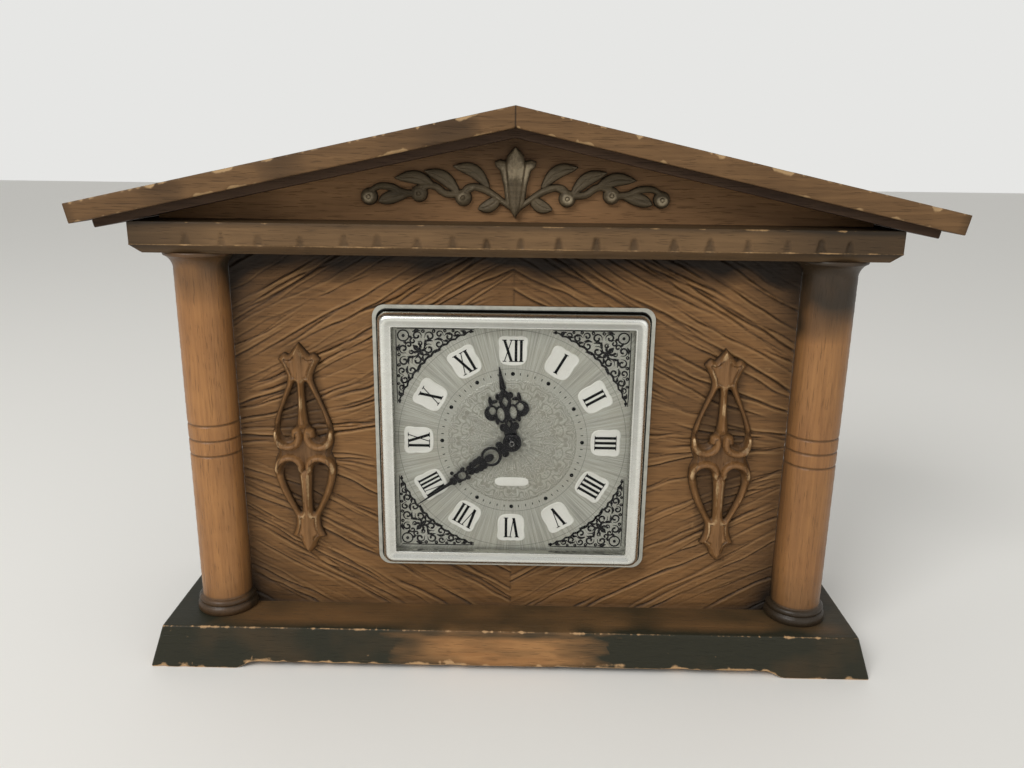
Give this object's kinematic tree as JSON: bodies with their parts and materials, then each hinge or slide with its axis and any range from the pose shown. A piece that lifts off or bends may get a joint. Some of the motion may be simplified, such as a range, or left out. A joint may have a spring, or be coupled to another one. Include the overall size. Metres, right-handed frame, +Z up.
{
  "type": "mantel clock",
  "caption": "Temple-front wooden mantel clock with gabled roof, turned columns and a square battery insert whose balance movement drives the hands.",
  "frame": {"origin": "centre of the base's underside, on the surface it stands on", "axes": "+X to the right seen from the front, +Y from the front to the back, +Z up"},
  "size_m": [0.3998, 0.12, 0.2732],
  "materials": {
    "front_wood": "carved, stained and oiled softwood",
    "column_wood": "turned, stained and varnished hardwood",
    "base_wood": "dark stained wood, rubbed bare along the middle of its front",
    "roof_wood": "stained boards with chipped edges",
    "moulding_wood": "stained and notched moulding",
    "gable_wood": "dark stained board",
    "scroll_wood": "carved and pierced, highlights rubbed pale",
    "spray_wood": "carved, grey-olive stain",
    "side_wood": "plain stained board",
    "back_board": "thin brown hardboard",
    "screw_steel": "zinc plated",
    "bezel_metal": "bright satin silver",
    "rubber": "black",
    "clear_glass": "flat, polished",
    "dial_metal": "silvered, sunray brushed",
    "hand_black": "black enamel",
    "tray_plastic": "black moulded, edge of the flange worn grey",
    "clip_steel": "sprung strip",
    "movement_brass": "stamped, lightly grained",
    "arbor_steel": "turned and polished",
    "jewel_red": "polished synthetic ruby",
    "spring_steel": "blued strip",
    "magnet_steel": "plain",
    "coil_copper": "enamelled copper wire",
    "cover_plastic": "clear moulded polystyrene",
    "knob_plastic": "black moulded, fluted",
    "battery_jacket": "plain printed jacket",
    "contact_nickel": "nickel plated strip",
    "board_laminate": "phenolic laminate",
    "component_case": "moulded cases"
  },
  "bodies": {
    "case": {"base_board": "base_wood", "column_left": "column_wood", "column_right": "column_wood", "top_board": "moulding_wood", "front_panel": "front_wood", "side_panel_left": "side_wood", "side_panel_right": "side_wood", "back_panel": "back_board", "back_screws": "screw_steel", "tympanum_panel": "gable_wood", "rear_gable_panel": "side_wood", "roof_board_left": "roof_wood", "roof_lining_left": "roof_wood", "roof_board_right": "roof_wood", "roof_lining_right": "roof_wood", "scroll_left": "scroll_wood", "scroll_right": "scroll_wood", "pediment_spray": "spray_wood", "insert_tray": "tray_plastic", "bezel_gasket": "rubber", "bezel_frame": "bezel_metal", "dial_glass": "clear_glass", "dial_plate": "dial_metal", "insert_clips": "clip_steel", "front_plate": "movement_brass", "rear_plate": "movement_brass", "plate_pillars": "movement_brass", "plate_nuts": "movement_brass", "pivot_jewels": "jewel_red", "minute_wheel_post": "arbor_steel", "hairspring": "spring_steel", "balance_cock": "movement_brass", "cock_screw": "arbor_steel", "drive_coil": "coil_copper", "dust_cover": "cover_plastic", "battery_holder": "tray_plastic", "battery_contacts": "contact_nickel", "circuit_board": "board_laminate", "circuit_parts": "component_case"},
    "minute_set": {"centre_arbor": "arbor_steel", "cannon_pinion": "arbor_steel", "centre_wheel": "movement_brass", "minute_hand": "hand_black", "hand_nut": "hand_black"},
    "hour_set": {"hour_wheel": "movement_brass", "hour_hand": "hand_black"},
    "minute_wheel_set": {"minute_wheel": "movement_brass"},
    "setting_set": {"setting_arbor": "arbor_steel", "setting_knob": "knob_plastic"},
    "third_set": {"third_arbor": "arbor_steel", "third_pinion": "arbor_steel", "third_wheel": "movement_brass"},
    "escape_set": {"escape_arbor": "arbor_steel", "escape_pinion": "arbor_steel", "escape_wheel": "movement_brass"},
    "balance_set": {"balance_staff": "arbor_steel", "balance_wheel": "movement_brass", "balance_magnets": "magnet_steel"},
    "regulator": {"regulator_lever": "movement_brass"},
    "battery_cell": {"battery": "battery_jacket"}
  },
  "joints": [
    {"name": "minute_turn", "type": "hinge", "parent": "case", "child": "minute_set", "pos_m": [0, -0.02, 0.1137], "axis": [0, 1, 0], "continuous": true},
    {"name": "hour_turn", "type": "hinge", "parent": "case", "child": "hour_set", "pos_m": [0, -0.02, 0.1137], "axis": [0, 1, 0], "continuous": true},
    {"name": "minute_wheel_turn", "type": "hinge", "parent": "case", "child": "minute_wheel_set", "pos_m": [0.00849, -0.02, 0.10521], "axis": [0, 1, 0], "continuous": true},
    {"name": "setting_turn", "type": "hinge", "parent": "case", "child": "setting_set", "pos_m": [0.02049, -0.02, 0.10521], "axis": [0, 1, 0], "continuous": true},
    {"name": "third_turn", "type": "hinge", "parent": "case", "child": "third_set", "pos_m": [-0.00849, -0.02, 0.12219], "axis": [0, 1, 0], "continuous": true},
    {"name": "escape_turn", "type": "hinge", "parent": "case", "child": "escape_set", "pos_m": [0.00091, -0.02, 0.12561], "axis": [0, 1, 0], "continuous": true},
    {"name": "balance_swing", "type": "hinge", "parent": "case", "child": "balance_set", "pos_m": [0.00695, -0.02, 0.13281], "axis": [0, 1, 0], "range_deg": [-150, 150], "stiffness_Nm_per_rad": 0.00006},
    {"name": "regulator_swing", "type": "hinge", "parent": "case", "child": "regulator", "pos_m": [0.00695, -0.02, 0.13281], "axis": [0, 1, 0], "range_deg": [-18, 18]},
    {"name": "battery_lift", "type": "slide", "parent": "case", "child": "battery_cell", "axis": [0, 1, 0], "range_m": [0, 0.09]}
  ],
  "couplings": [
    {"joint": "hour_turn", "follows": "minute_turn", "ratio": 0.083333},
    {"joint": "minute_wheel_turn", "follows": "minute_turn", "ratio": -0.33333},
    {"joint": "setting_turn", "follows": "minute_turn", "ratio": 1},
    {"joint": "third_turn", "follows": "minute_turn", "ratio": -5},
    {"joint": "escape_turn", "follows": "minute_turn", "ratio": 20}
  ]
}
